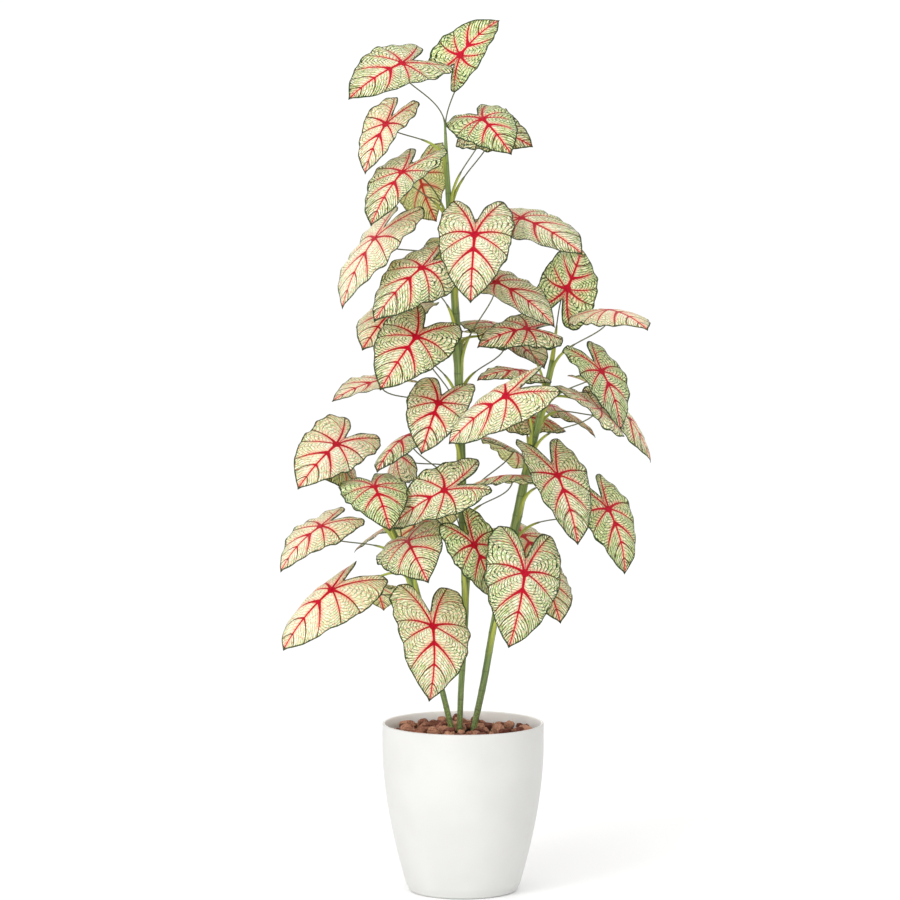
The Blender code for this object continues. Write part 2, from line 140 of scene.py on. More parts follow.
# Blades, in knot-to-tip lengths where they have no unit
BLADE_THICK = 0.0006
ROW_SHARE = 56  # rows from tip to sinus, about
COLUMNS = (0, 0.03, 0.08, 0.16, 0.26, 0.37, 0.48, 0.59, 0.70, 0.80, 0.89, 0.96, 1.0)
ACROSS = np.array([-column for column in COLUMNS[:0:-1]] + list(COLUMNS))
MAP_SCALE = (0.44, 0.60)
MAP_AT = (0.25, 0.38)
MAP_UNDER_SHIFT = 0.5
MERGE = 0.00002
SHORTEST_EDGE = 0.000005
HALF_OUTLINE = (
    (0.0, 1.0), (0.04, 0.95), (0.13, 0.87), (0.26, 0.72), (0.40, 0.48), (0.49, 0.22), (0.53, -0.04),
    (0.53, -0.28), (0.48, -0.49), (0.38, -0.61), (0.24, -0.62), (0.11, -0.48), (0.0, -0.22),
)
HALF_WIDTH = max(x for x, _y in HALF_OUTLINE)
LEAST_CURL = 0.001
VEIN_FOOT_FROM = 0.30
VEIN_FOOT_POWER = 1.8
RIPPLES = 2.5
LEFT_RIPPLE_SHIFT = 1.7
LOBE_DROOP = 0.6
DROOPS = (0.45, 0.75)
RIPPLE_HEIGHTS = (0.020, 0.034)
EDGE_WAVE = 0.018
EDGE_RIPPLES = 8
LEFT_WAVE_SHIFT = 1.3
MARGIN_WAVES = ((5, 5, 1.0), (9, 2, 0.8), (19, 0, 0.4))  # number, shift by the leaf's phase, height
PANEL_RISE = 0.011
TROUGH_DEPTH = 0.008
TROUGH_WIDTH = 0.03
TROUGH_FULL_AT = 0.2

Vein = namedtuple("Vein", "end arch foot_width margin_width red_until distal")
# Where each main vein meets the margin, how far it arches as a share of its length, its half widths in
# millimetres, the share of it that is red, and whether the fine veins before it run beside it.
VEINS = (
    Vein((0.0, 1.0), 0.0, 0.0, 0.0, 0.0, True),
    Vein((0.10, 0.90), 0.09, 0.65, 0.50, 0.0, True),
    Vein((0.22, 0.78), 0.11, 1.05, 0.65, 0.20, True),
    Vein((0.33, 0.60), 0.07, 2.00, 0.75, 0.76, True),
    Vein((0.465, 0.29), 0.06, 1.90, 0.75, 0.70, False),
    Vein((0.53, -0.02), 0.10, 1.95, 0.75, 0.64, False),
    Vein((0.35, -0.625), 0.05, 2.10, 0.75, 0.76, False),
    Vein((0.0, -0.22), 0.0, 1.00, 0.50, 0.60, False),
)
STAR_REACH = 11.0  # millimetres over which the veins flare into the star at the knot
STAR_FLARE = 1.1
STAR_RADIUS = 7.8
SECOND_STAR_RADIUS = 5.2
BRANCH_FROM = 0.48
BRANCH_END = (0.525, -0.36)
LOBE_VEIN = 6
SECOND_STAR_VEIN = 3
MIDRIB_FOOT_WIDTH = 2.5
MIDRIB_TIP_WIDTH = 0.9
MIDRIB_FLARE = 0.9
MIDRIB_FROM = -0.01
RED_FADE = 0.22  # share of a vein over which its red ends
RUNG_PITCH = 6.2
RUNG_SHIFTS = (0.37, 0.90)  # beside a panel's first main vein and its last
PANEL_SHIFT = 0.31
RIB_PITCH = 6.8
RIB_SLANT = 0.85  # distance between ribs, in their pitches
RUNG_BOW = 0.30
CELL_PITCH = 6.0
DISTAL_CELL_PITCH = 9.0
TONE_SPREAD = 0.8
NOWHERE = 60.0  # millimetres, for a line that a region doesn't have
# The numbers of the darkest green leaves, and of the pale and pink ones
GREEN_LEAVES = {"center": (2, 4, 25), "right": (1, 4, 12), "left": (2, 3)}
PINK_LEAVES = {"center": (3, 8, 15, 17), "right": (2,), "left": (1, 4, 6)}

Stem = namedtuple("Stem", "seed points")
# A seed for its rings and edges, then the points up it: x, y, z and radius. The lowest is in the soil.
STEMS = {
    "center": Stem(0.3, (
        (-0.006, 0.010, 0.150, 0.0052), (-0.006, 0.010, 0.300, 0.0052), (-0.004, 0.006, 0.365, 0.0054),
        (0.004, 0.004, 0.535, 0.0066), (-0.002, 0.002, 0.735, 0.0082), (-0.009, 0.0, 0.965, 0.0082),
        (-0.017, 0.0, 1.115, 0.0070), (-0.028, 0.0, 1.295, 0.0052), (-0.033, 0.0, 1.405, 0.0020),
    )),
    "left": Stem(1.7, (
        (-0.022, 0.010, 0.150, 0.0053), (-0.022, 0.010, 0.300, 0.0053), (-0.040, 0.004, 0.375, 0.0056),
        (-0.064, -0.006, 0.465, 0.0066), (-0.090, -0.014, 0.565, 0.0078),
        (-0.112, -0.014, 0.625, 0.0068), (-0.131, -0.012, 0.670, 0.0050),
    )),
    "right": Stem(2.9, (
        (0.020, 0.010, 0.150, 0.0057), (0.020, 0.010, 0.300, 0.0057), (0.038, 0.006, 0.385, 0.0066),
        (0.057, 0.002, 0.495, 0.0070), (0.078, 0.0, 0.595, 0.0082), (0.100, 0.0, 0.695, 0.0090),
        (0.120, 0.004, 0.795, 0.0074), (0.146, 0.010, 0.895, 0.0064), (0.162, 0.014, 0.975, 0.0040),
    )),
}

Leaf = namedtuple(
    "Leaf", "name stem node knot heading pitch roll length left right droop ripple phase seed tone",
)
# The leaves of each stem, numbered from 1 in their names. A row gives the height of the stalk's foot on
# its stem, then the knot where stalk and blade meet, in millimetres.
# Then heading, pitch and roll of the line from knot to tip in degrees, and its length in millimetres.
# Then how far the left and the right half bend down from the midrib to their margins, in degrees.
LEAF_ROWS = {
    "center": (
        (1405, (-110, -60, 1515), 210, -30, -35, 130, -10, 15),
        (1395, (-5, -10, 1530), 20, 40, 35, 100, -20, -15),
        (1335, (-140, -30, 1405), 205, -65, -15, 100, 0, -15),
        (1255, (35, -50, 1415), 305, -35, 30, 110, 35, 15),
        (1245, (45, 40, 1395), 340, -20, 45, 95, 10, 15),
        (1215, (-110, -70, 1320), 225, -50, -5, 125, -10, 10),
        (1205, (-80, 55, 1310), 65, -50, -60, 115, 15, 20),
        (1135, (-160, -60, 1200), 215, -60, 5, 145, 25, 15),
        (1025, (-75, -115, 1150), 205, -45, -20, 135, 100, 10),
        (1095, (20, -120, 1210), 260, -70, -5, 130, 15, 25),
        (1125, (105, -10, 1235), 325, -25, 25, 150, 40, -15),
        (960, (60, -40, 1120), 340, -35, 25, 140, 25, -25),
        (905, (80, 100, 1010), 310, -25, 5, 120, -15, -30),
        (1000, (65, 40, 1035), 135, 0, 0, 105, 40, 25),
        (995, (-125, 10, 1070), 235, -35, -25, 125, -30, 65),
        (895, (-85, -100, 1025), 225, -45, -35, 130, 15, 15),
        (865, (-150, 0, 940), 205, -20, -15, 105, -20, 15),
        (795, (-45, -85, 905), 240, -55, -25, 110, -25, 15),
        (695, (95, 70, 805), 225, 15, -15, 115, 15, 30),
        (665, (90, -85, 775), 200, -15, 0, 95, 20, 50),
        (720, (-100, -10, 840), 230, -35, 0, 110, 20, 80),
        (745, (-120, 120, 790), 100, -30, -60, 115, 85, 15),
        (610, (-35, -120, 750), 175, -35, -35, 125, 10, -15),
        (565, (110, 80, 645), 305, -35, 10, 115, 30, 15),
        (535, (20, -110, 650), 35, -70, 75, 105, 0, 25),
        (1065, (-10, 90, 1180), 95, -45, 0, 125, 20, 10),
        (865, (-75, 100, 995), 125, -40, 0, 125, 10, 25),
        (615, (-45, 120, 715), 90, -50, 0, 105, 15, 15),
    ),
    "right": (
        (965, (190, 30, 1105), 70, 40, 40, 110, -30, 0),
        (955, (265, -30, 1070), 305, -15, 5, 120, 45, 40),
        (910, (115, -20, 1035), 190, -20, -30, 100, 20, 10),
        (875, (250, -60, 960), 330, -70, 10, 115, 5, 0),
        (895, (260, 30, 910), 140, 20, 15, 95, -30, 20),
        (850, (290, 120, 880), 5, -60, 20, 120, 35, 30),
        (825, (100, -25, 960), 210, -10, -10, 90, 30, 15),
        (800, (245, -90, 895), 185, 25, -5, 100, 30, -20),
        (795, (75, -175, 925), 165, -40, -55, 140, -10, 75),
        (790, (120, 80, 865), 30, -20, 30, 90, 55, 15),
        (705, (170, -100, 775), 310, -65, 5, 135, 15, -25),
        (640, (265, -20, 705), 340, -75, 25, 125, 20, 10),
        (525, (140, -60, 595), 295, -45, 5, 120, 45, 15),
        (460, (110, -160, 605), 215, -75, -75, 140, 15, 20),
        (845, (165, 90, 885), 350, -35, 0, 100, 15, 20),
    ),
    "left": (
        (645, (-230, -30, 825), 220, -40, -25, 120, 20, -15),
        (635, (-215, 30, 785), 250, -10, -55, 115, 25, 15),
        (625, (-160, -100, 755), 290, -40, 10, 115, 20, 25),
        (605, (-260, -30, 675), 205, -45, -10, 115, 30, 10),
        (540, (-100, -90, 655), 290, -30, 30, 130, 5, 25),
        (575, (-240, -40, 560), 195, -50, -40, 145, 10, 95),
        (525, (-170, 60, 560), 75, -35, 0, 110, 15, 20),
        (485, (-55, -130, 505), 260, -75, -40, 140, -10, 10),
        (565, (-90, 140, 665), 95, -50, 0, 100, 15, 20),
        (615, (-120, 55, 675), 180, -35, 0, 100, 15, 20),
    ),
}

# Colours, linear
CREAM = (0.98, 0.96, 0.76, 1)
CREAM_GREEN = (0.48, 0.66, 0.29, 1)
PINK = (0.95, 0.38, 0.31, 1)
BLUSH = (0.94, 0.58, 0.44, 1)
RED = (0.50, 0.001, 0.022, 1)
RED_DARK = (0.24, 0.001, 0.008, 1)
RED_BROWN = (0.14, 0.020, 0.010, 1)
VEIN_DARK = (0.050, 0.030, 0.012, 1)
NET_GREEN = (0.004, 0.028, 0.007, 1)
NET_PALE = (0.030, 0.105, 0.030, 1)
MARGIN_GREEN = (0.008, 0.028, 0.011, 1)
UNDER_CREAM = (0.94, 0.90, 0.58, 1)
UNDER_GREEN = (0.60, 0.74, 0.34, 1)
UNDER_RED = (0.46, 0.030, 0.024, 1)
TRUNK_DEEP = (0.075, 0.135, 0.042, 1)
TRUNK_GREEN = (0.22, 0.31, 0.078, 1)
TRUNK_PALE = (0.42, 0.50, 0.16, 1)
TRUNK_FOOT = (0.085, 0.095, 0.038, 1)
TRUNK_SCAR = (0.085, 0.10, 0.035, 1)
SHEATH_GREEN = (0.36, 0.42, 0.045, 1)
SHEATH_YELLOW = (0.56, 0.60, 0.12, 1)
SHEATH_STREAK = (0.20, 0.28, 0.045, 1)
SHEATH_EDGE = (0.16, 0.23, 0.045, 1)
STALK_DARK = (0.070, 0.085, 0.038, 1)
STALK_OLIVE = (0.145, 0.165, 0.070, 1)
STALK_RED = (0.22, 0.07, 0.04, 1)
POT_GREY = (0.582, 0.580, 0.560, 1)
POT_WHITE = (0.612, 0.611, 0.594, 1)
POT_SPECK = (0.565, 0.56, 0.54, 1)
# The pot's upper inner wall, far paler than its outside: painted light against the shade inside the pot
POT_INSIDE_PAINTED_LIGHT = (0.97, 0.965, 0.950, 1)
BARK_DARK = (0.11, 0.034, 0.024, 1)
BARK_BROWN = (0.20, 0.080, 0.046, 1)
BARK_RED = (0.40, 0.145, 0.090, 1)
BARK_TAN = (0.60, 0.30, 0.185, 1)
BARK_WARM = (0.60, 0.32, 0.21, 1)
BARK_WORN = (0.72, 0.46, 0.31, 1)
# Painted shade, laid in the hollows of the chips' bumps
BARK_HOLLOW_SHADE = (0.045, 0.018, 0.014, 1)
BARK_DEEP = (0.11, 0.030, 0.023, 1)
SOIL_DARK = (0.020, 0.011, 0.008, 1)
SOIL_BROWN = (0.11, 0.062, 0.040, 1)
FLOOR_PALE = (0.982, 0.982, 0.982, 1)
FLOOR_PALER = (0.988, 0.988, 0.988, 1)

Face = namedtuple("Face", "name cream green red red_dark blush net veins rim relief roughness")
# The two faces of a blade: colours, then how strongly blush, net, veins and rim show, how far veins
# stand out, and the least roughness.
FACES = (
    Face("leaf_upper", CREAM, CREAM_GREEN, RED, RED_DARK, 1.0, 1.0, 1.0, 0.95, -0.6, 0.40),
    Face("leaf_under", UNDER_CREAM, UNDER_GREEN, UNDER_RED, UNDER_RED, 0.5, 0.7, 0.75, 0.7, 0.6, 0.55),
)


def leaf_from_row(stem, number, row):
    """A leaf in metres and radians, with droop, ripples and tone of its own, drawn from its name.

    Tone is 1 for the darkest green and -1 for the pale and pink ones.
    """
    node, knot, *turns, length, left, right = row
    heading, pitch, roll, left, right = (math.radians(angle) for angle in (*turns, left, right))
    name = f"leaf_{stem}_{number:02d}"
    chance = random.Random(name)
    droop, ripple = chance.uniform(*DROOPS), chance.uniform(*RIPPLE_HEIGHTS)
    phase, seed = chance.uniform(0, 2 * math.pi), chance.random()
    tone = TONE_SPREAD * (seed - 0.5)
    if number in GREEN_LEAVES[stem]:
        tone = 1.0
    elif number in PINK_LEAVES[stem]:
        tone = -1.0
    return Leaf(
        name, stem, node * MM, Vector(knot) * MM, heading, pitch, roll, length * MM, left, right,
        droop, ripple, phase, seed, tone,
    )


def blend(start, end, share):
    """A number some share of the way from one to another."""
    return start + (end - start) * share


def smooth_line(corners, steps):
    """A Catmull-Rom line, with so many steps from each corner to the next."""
    ends = [2 * corners[0] - corners[1], *corners, 2 * corners[-1] - corners[-2]]
    line = []
    for a, b, c, d in zip(ends, ends[1:], ends[2:], ends[3:]):
        bow, twist = 2 * a - 5 * b + 4 * c - d, 3 * b - a - 3 * c + d
        for t in np.arange(steps) / steps:
            line.append(0.5 * (2 * b + (c - a) * t + bow * t**2 + twist * t**3))
    line.append(corners[-1])
    return np.array(line)


def outline():
    """The blade's right half from tip to sinus: shares of its length, points and length."""
    line = smooth_line([np.array(point, float) for point in HALF_OUTLINE], 12)
    along = np.concatenate([[0], np.cumsum(np.linalg.norm(np.diff(line, axis=0), axis=1))])
    return along / along[-1], line, along[-1]


OUTLINE_AT, OUTLINE, OUTLINE_LENGTH = outline()


def around_at(point):
    """How far around the half outline the place nearest to a flat point lies."""
    return OUTLINE_AT[np.argmin(np.linalg.norm(OUTLINE - np.array(point), axis=1))]


VEINS_AT = np.array([around_at(vein.end) for vein in VEINS])
ARCHES = np.array([vein.arch for vein in VEINS])
BRANCH_AT = around_at(BRANCH_END)


def vein_foot(around):
    """Height on the midrib from which the vein to that place of the outline leaves."""
    end_y = np.interp(around, OUTLINE_AT, OUTLINE[:, 1])
    return np.clip((end_y - VEIN_FOOT_FROM) / (1 - VEIN_FOOT_FROM), 0, 1) ** VEIN_FOOT_POWER


def flat_blade(across, around):
    """Flat coordinates, right and toward the tip, of a point part of the way along its vein."""
    reach = np.abs(across)
    end_x = np.interp(around, OUTLINE_AT, OUTLINE[:, 0])
    end_y = np.interp(around, OUTLINE_AT, OUTLINE[:, 1])
    foot_y = vein_foot(around)
    arch = 4 * reach * (1 - reach) * np.interp(around, VEINS_AT, ARCHES)
    x = reach * end_x + arch * (end_y - foot_y)
    y = foot_y + reach * (end_y - foot_y) - arch * end_x
    return np.sign(across) * np.maximum(x, 0), y


def bend(leaf, x, y, lift):
    """Points in a blade's own frame, from flat coordinates and a lift off the bent blade."""
    curl = np.where(x < 0, leaf.left, leaf.right) / HALF_WIDTH
    curl = np.where(np.abs(curl) < LEAST_CURL, LEAST_CURL, curl)
    lift = lift - (1 - np.cos(curl * x)) / curl
    x = np.sin(curl * x) / curl
    droop = np.where(y > 0, leaf.droop, LOBE_DROOP * leaf.droop)
    turn = droop * y
    along = np.sin(turn) / droop + lift * np.sin(turn)
    up = -(1 - np.cos(turn)) / droop + lift * np.cos(turn)
    half = leaf.droop / 2
    level = along * math.cos(half) - up * math.sin(half)
    raised = along * math.sin(half) + up * math.cos(half)
    return leaf.length * np.stack([x, level, raised], axis=-1)


def blade_frame(leaf):
    """Rotation from a blade's own frame to its place on the plant."""
    heading, pitch = leaf.heading, leaf.pitch
    way = Vector((math.cos(heading), math.sin(heading), 0))
    up = Vector((0, 0, 1))
    tip = way * math.cos(pitch) + up * math.sin(pitch)
    face = Matrix.Rotation(leaf.roll, 3, tip) @ (up * math.cos(pitch) - way * math.sin(pitch))
    side = tip.cross(face)
    return Matrix((side, tip, face)).transposed()


def add_piece(name, mesh, node):
    """Put a piece in the scene, in place of a node."""
    piece = bpy.data.objects.new(name, mesh)
    bpy.context.scene.collection.objects.link(piece)
    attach(piece, "root")
    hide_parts(node)
    return piece


def form_mesh(form, name, material):
    """A smooth mesh of a form, with one material."""
    mesh = bpy.data.meshes.new(name)
    form.to_mesh(mesh)
    form.free()
    mesh.shade_smooth()
    mesh.materials.append(material)
    return mesh


def blade_rows():
    """Places of the rows around the outline, and the panel between main veins that each starts."""
    rows, panels = [], []
    for panel, (start, end) in enumerate(zip(VEINS_AT, VEINS_AT[1:])):
        count = 2 * max(1, round((end - start) * ROW_SHARE / 2))
        rows.extend(np.linspace(start, end, count, endpoint=False))
        panels.extend([panel] * count)
    return np.array([*rows, 1.0]), np.array(panels)


def panel_share(around, panel):
    """How far a place lies from a panel's first main vein to its last."""
    return (around - VEINS_AT[panel]) / (VEINS_AT[panel + 1] - VEINS_AT[panel])


def vein_values(panel, upper, reach, along, to_vein):
    """Distance to the nearest main vein, its half width there, and how red it is."""
    table = np.array([(vein.foot_width, vein.margin_width, vein.red_until) for vein in VEINS])
    foot_width, margin_width, red_until = np.moveaxis(table[np.where(upper, panel, panel + 1)], -1, 0)
    flare = 1 + STAR_FLARE * np.exp(-along / STAR_REACH)
    half_width = blend(foot_width, margin_width, reach**0.8) * flare
    red = np.clip((red_until - reach) / RED_FADE + 0.5, 0, 1) * (red_until > 0)
    return np.stack([to_vein, half_width, red], -1)


def rung_values(panel, upper, x, foot, share, width, from_knot):
    """Counts of the fine veins, distance beside the middle of the panel, and if the veins are ribs.

    In distal panels the fine veins are ribs that leave the midrib. Elsewhere they are rungs between two
    main veins.
    """
    distal = np.array([vein.distal for vein in VEINS])[panel + 1]
    bowed = from_knot - RUNG_BOW * width * np.sin(np.pi * share)
    rungs = bowed / RUNG_PITCH + np.where(upper, *RUNG_SHIFTS) + panel * PANEL_SHIFT
    beside = np.where(distal, np.abs(x), (share - 0.5) * width)
    return np.stack([np.where(distal, foot / RIB_PITCH, rungs), beside, distal], -1)


def edge_values(mm, x, y, around, reach, from_knot):
    """Distances to the margin and the lobe vein's branch, and the midrib's half width."""
    out = np.clip((reach - BRANCH_FROM) / (1 - BRANCH_FROM), 0, 1) ** 0.8
    branch_around = blend(VEINS_AT[LOBE_VEIN], BRANCH_AT, out)
    branch = (around - branch_around) * mm * OUTLINE_LENGTH * reach + NOWHERE * (reach < BRANCH_FROM)
    middle_width = blend(MIDRIB_FOOT_WIDTH, MIDRIB_TIP_WIDTH, np.clip(y, 0, 1) ** 0.7)
    middle_width = middle_width * (1 + MIDRIB_FLARE * np.exp(-from_knot / STAR_REACH)) * (y > MIDRIB_FROM)
    off_outline = np.stack([np.abs(x), y], -1)[..., None, :] - OUTLINE
    margin = mm * np.min(np.linalg.norm(off_outline, axis=-1), axis=-1)
    return np.stack([margin, branch, middle_width], -1)


def corner_values(leaf, across, around, panel, upper):
    """What the finish needs to know at places of the flat blade, in millimetres."""
    mm = leaf.length / MM
    share = panel_share(around, panel)
    x, y = flat_blade(across, around)
    reach = np.abs(across)
    foot = vein_foot(around)
    gap = np.subtract(flat_blade(across, VEINS_AT[panel]), flat_blade(across, VEINS_AT[panel + 1]))
    width = mm * np.hypot(*gap)
    to_vein = np.minimum(share, 1 - share) * width
    from_knot = mm * np.hypot(x, y)
    from_second = mm * np.hypot(x, y - vein_foot(VEINS_AT[SECOND_STAR_VEIN]))
    star = np.minimum(from_knot - STAR_RADIUS, from_second - SECOND_STAR_RADIUS)
    none = np.zeros_like(x)
    return {
        "flat": np.stack([x * mm, y * mm, none + leaf.seed], -1),
        "vein": vein_values(panel, upper, reach, mm * np.hypot(x, y - foot), to_vein),
        "rung": rung_values(panel, upper, x * mm, foot * mm, share, width, from_knot),
        "tone": np.stack([none + leaf.tone, none, none], -1),
        "star": np.stack([star, y, reach], -1),
        "edge": edge_values(mm, x, y, around, reach, from_knot),
    }


def blade_lift(leaf, x, y, across, around, share):
    """Lift of the upper face: ripples, raised panels and the midrib's trough."""
    reach = np.abs(across)
    side_shift = np.where(across < 0, LEFT_RIPPLE_SHIFT, 0)
    ripple = leaf.ripple * across**2 * np.sin(np.pi * around) ** 0.7
    ripple = ripple * np.sin(2 * np.pi * RIPPLES * around + leaf.phase + side_shift)
    small = EDGE_WAVE * reach**4 * np.sin(np.pi * around)
    small = small * np.sin(2 * np.pi * EDGE_RIPPLES * around + 3 * leaf.phase)
    panels = PANEL_RISE * (np.sin(np.pi * share) ** 0.8 - 0.4) * np.sin(np.pi * np.clip(reach, 0, 1)) ** 0.8
    trough = -TROUGH_DEPTH * np.exp(-((x / TROUGH_WIDTH) ** 2)) * np.clip(y / TROUGH_FULL_AT, 0, 1)
    return ripple + small + panels + trough


def waved(leaf, x, y, across, around):
    """Flat coordinates with an uneven margin."""
    turn = 2 * np.pi * around + np.where(across < 0, LEFT_WAVE_SHIFT, 0.0)
    wave = sum(high * np.sin(number * turn + shift * leaf.phase) for number, shift, high in MARGIN_WAVES)
    grow = 1 + EDGE_WAVE * wave * np.abs(across) ** 6 * np.sin(np.pi * around)
    foot = vein_foot(around)
    return x * grow, foot + (y - foot) * grow


def blade_points(leaf, rows, panels):
    """Places of a blade's upper face on the plant, row by row."""
    around, across = np.meshgrid(rows, ACROSS, indexing="ij")
    share = panel_share(around, np.append(panels, panels[-1])[:, None])
    x, y = flat_blade(across, around)
    lift = blade_lift(leaf, x, y, across, around, share)
    points = bend(leaf, *waved(leaf, x, y, across, around), lift)
    return points.reshape(-1, 3) @ np.array(blade_frame(leaf)).T + np.array(leaf.knot)


def blade_sheet(leaf):
    """A blade's upper face: a grid along its veins, with the finish's values at its corners."""
    rows, panels = blade_rows()
    grid = np.meshgrid(np.arange(len(rows) - 1), np.arange(len(ACROSS) - 1), indexing="ij")
    row, column = (numbers.ravel() for numbers in grid)
    corner_rows = np.stack([row, row + 1, row + 1, row], -1)
    corner_columns = np.stack([column, column, column + 1, column + 1], -1)
    faces = corner_rows * len(ACROSS) + corner_columns
    mesh = bpy.data.meshes.new(leaf.name + "_blade")
    mesh.from_pydata(blade_points(leaf, rows, panels).tolist(), [], faces.tolist())

    panel, middle = (
        np.repeat(numbers[:, None], 4, axis=1) for numbers in (panels[row], (rows[row] + rows[row + 1]) / 2)
    )
    upper = panel_share(middle, panel) < 0.5
    values = corner_values(leaf, ACROSS[corner_columns], rows[corner_rows], panel, upper)
    for name, numbers in values.items():
        layer = mesh.attributes.new(name, "FLOAT_VECTOR", "CORNER")
        layer.data.foreach_set("vector", numbers.astype(np.float32).ravel())
    layout = mesh.uv_layers.new(name="OFBake")
    spread = values["flat"].reshape(-1, 3)[:, :2] * MM / leaf.length * MAP_SCALE + MAP_AT
    layout.data.foreach_set("uv", spread.astype(np.float32).ravel())

    form = bmesh.new()
    form.from_mesh(mesh)
    bmesh.ops.remove_doubles(form, verts=form.verts, dist=MERGE)
    bmesh.ops.dissolve_degenerate(form, edges=form.edges, dist=SHORTEST_EDGE)
    form.to_mesh(mesh)
    form.free()
    return mesh


def add_leaf(leaf, materials):
    """One blade: its sheet with a thickness and both faces."""
    mesh = blade_sheet(leaf)
    for material in materials:
        mesh.materials.append(material)
    sheet = bpy.data.objects.new("sheet", mesh)
    bpy.context.scene.collection.objects.link(sheet)
    thickness = sheet.modifiers.new("thickness", "SOLIDIFY")
    thickness.thickness = BLADE_THICK
    thickness.offset = -1
    thickness.material_offset = 1
    thickness.material_offset_rim = 0
    bpy.context.view_layer.update()
    solid = bpy.data.meshes.new_from_object(sheet.evaluated_get(bpy.context.evaluated_depsgraph_get()))
    bpy.data.objects.remove(sheet)
    shift_under(solid)
    solid.shade_smooth()
    add_piece(leaf.name + "_blade", solid, leaf.name)


def shift_under(mesh):
    """Lay the lower face's map beside the upper face's."""
    layout = mesh.uv_layers["OFBake"].data
    for face in mesh.polygons:
        if face.material_index:
            for corner in face.loop_indices:
                layout[corner].uv.x += MAP_UNDER_SHIFT


def stem_line(stem):
    """Points and radii up a stem."""
    corners = np.array(stem.points)
    line = smooth_line(corners[1:], 10)
    heights = np.linspace(line[0, 2], line[-1, 2], TRUNK_RINGS)
    rows = np.stack([np.interp(heights, line[:, 2], line[:, column]) for column in range(4)], -1)
    return np.concatenate([[corners[0]], rows])


def stem_place(stem, height):
    """Middle, direction and radius of a stem at one height."""
    line = stem_line(stem)
    below, here, above = (
        Vector([float(np.interp(height + step, line[:, 2], column)) for column in line.T])
        for step in (-STEM_STEP, 0, STEM_STEP)
    )
    return (below + above).xyz / 2, (above - below).xyz.normalized(), here[3]


def stalk_radius(t, sheath_end, foot_radius):
    """Radius of a stalk: a sheath that narrows to its tip, then the bare stalk."""
    bare = blend(STALK_RADIUS, STALK_TOP_RADIUS, max(0.0, (t - STALK_WIDENS_AT) / (1 - STALK_WIDENS_AT)))
    if t >= sheath_end:
        return bare
    return blend(bare, foot_radius, (1 - t / sheath_end) ** 0.6)


def strap_line(leaf, stem, out):
    """The sheath below its node: a strap that rises out of the trunk and widens upward."""
    line = []
    for share in np.arange(STRAP_RINGS) / STRAP_RINGS:
        height = leaf.node - STRAP_LENGTH * (1 - share)
        middle, _up, radius = stem_place(stem, height)
        offset = blend(STRAP_OFFSET_FOOT, STRAP_OFFSET, share)
        point = middle + out * (radius * offset)
        line.append((point, SHEATH_RADIUS * blend(STRAP_NARROWEST, 1, share), NODE_AT * share))
    return line


def curve_point(start, first, last, end, t):
    """A point on a cubic curve with two handles."""
    return start * (1 - t) ** 3 + first * 3 * t * (1 - t) ** 2 + last * 3 * t * t * (1 - t) + end * t**3


def stalk_line(leaf):
    """Points, radii and places along a leaf stalk, from its foot to the blade's knot, and its way out.

    Places run from 0 at the foot over NODE_AT at the node to 1 where the sheath ends, then from 1 to 2.
    """
    stem = STEMS[leaf.stem]
    node, up, trunk_radius = stem_place(stem, leaf.node)
    arrive = blade_frame(leaf) @ Vector((0, -math.sin(leaf.droop / 2), math.cos(leaf.droop / 2)))
    top = leaf.knot - arrive * BLADE_THICK * STALK_END_AT
    end = top - arrive * STALK_LAST_STRAIGHT
    way = end - node
    out = (way - up * way.dot(up)).normalized()
    bare = leaf.node > BARE_FROM
    start = node if bare else node + out * (trunk_radius * STRAP_OFFSET)
    far = (end - start).length
    first = start + up * (STALK_RISE * far)
    last = end - arrive * (STALK_ARRIVE * far)
    sheath_end = BARE_SHEATH_SHARE if bare else min(MOST_SHEATH_SHARE, SHEATH_LENGTH / far)
    foot_radius = BARE_FOOT_RADIUS if bare else SHEATH_RADIUS
    line = [] if bare else strap_line(leaf, stem, out)
    for t in sorted([*np.linspace(0, 1, STALK_RINGS), *np.linspace(*SHEATH_END_RINGS) * sheath_end]):
        place = blend(NODE_AT, 1, t / sheath_end) if t < sheath_end and not bare else 1 + t
        point = curve_point(start, first, last, end, t)
        line.append((point, stalk_radius(t, sheath_end, foot_radius), place))
    return [*line, (top, STALK_TOP_RADIUS, 2.0)], (last - start).normalized()


def tube(form, layers, line, sides, side, shape, kind, seed):
    """A capped tube: rings across a line, each shaped by its place and angle."""
    place_layer, kind_layer = layers
    points = [point for point, _radius, _t in line]
    rings = []
    for index, (point, radius, t) in enumerate(line):
        ahead = points[min(index + 1, len(points) - 1)] - points[max(index - 1, 0)]
        ahead.normalize()
        out = (side - ahead * side.dot(ahead)).normalized()
        over = ahead.cross(out)
        ring = []
        for step in range(sides):
            angle = 2 * math.pi * step / sides
            reach = radius * shape(t, angle)
            spread = out * (reach * math.cos(angle)) + over * (reach * math.sin(angle))
            corner = form.verts.new(point + spread)
            corner[place_layer] = Vector((t, angle / (2 * math.pi), 0))
            corner[kind_layer] = Vector((kind, seed, point.z))
            ring.append(corner)
        rings.append(ring)
    for low, high in zip(rings, rings[1:]):
        for a, b, c, d in zip(low, low[1:] + low[:1], high[1:] + high[:1], high):
            form.faces.new((a, b, c, d))
    form.faces.new(reversed(rings[0]))
    form.faces.new(rings[-1])


def trunk_shape(seed):
    """How a trunk's radius varies: the edges of the sheaths that wrap it, and faint rings."""
    def shape(t, angle):
        edge = math.sin(2 * angle + 5 * t + seed) + 0.5 * math.sin(5 * angle - 9 * t + 2 * seed)
        ring = 0.5 + 0.5 * math.cos(2 * math.pi * (t * SCARS + seed))
        return TRUNK_SHRINK + TRUNK_EDGE * edge + TRUNK_RING * ring**12
    return shape


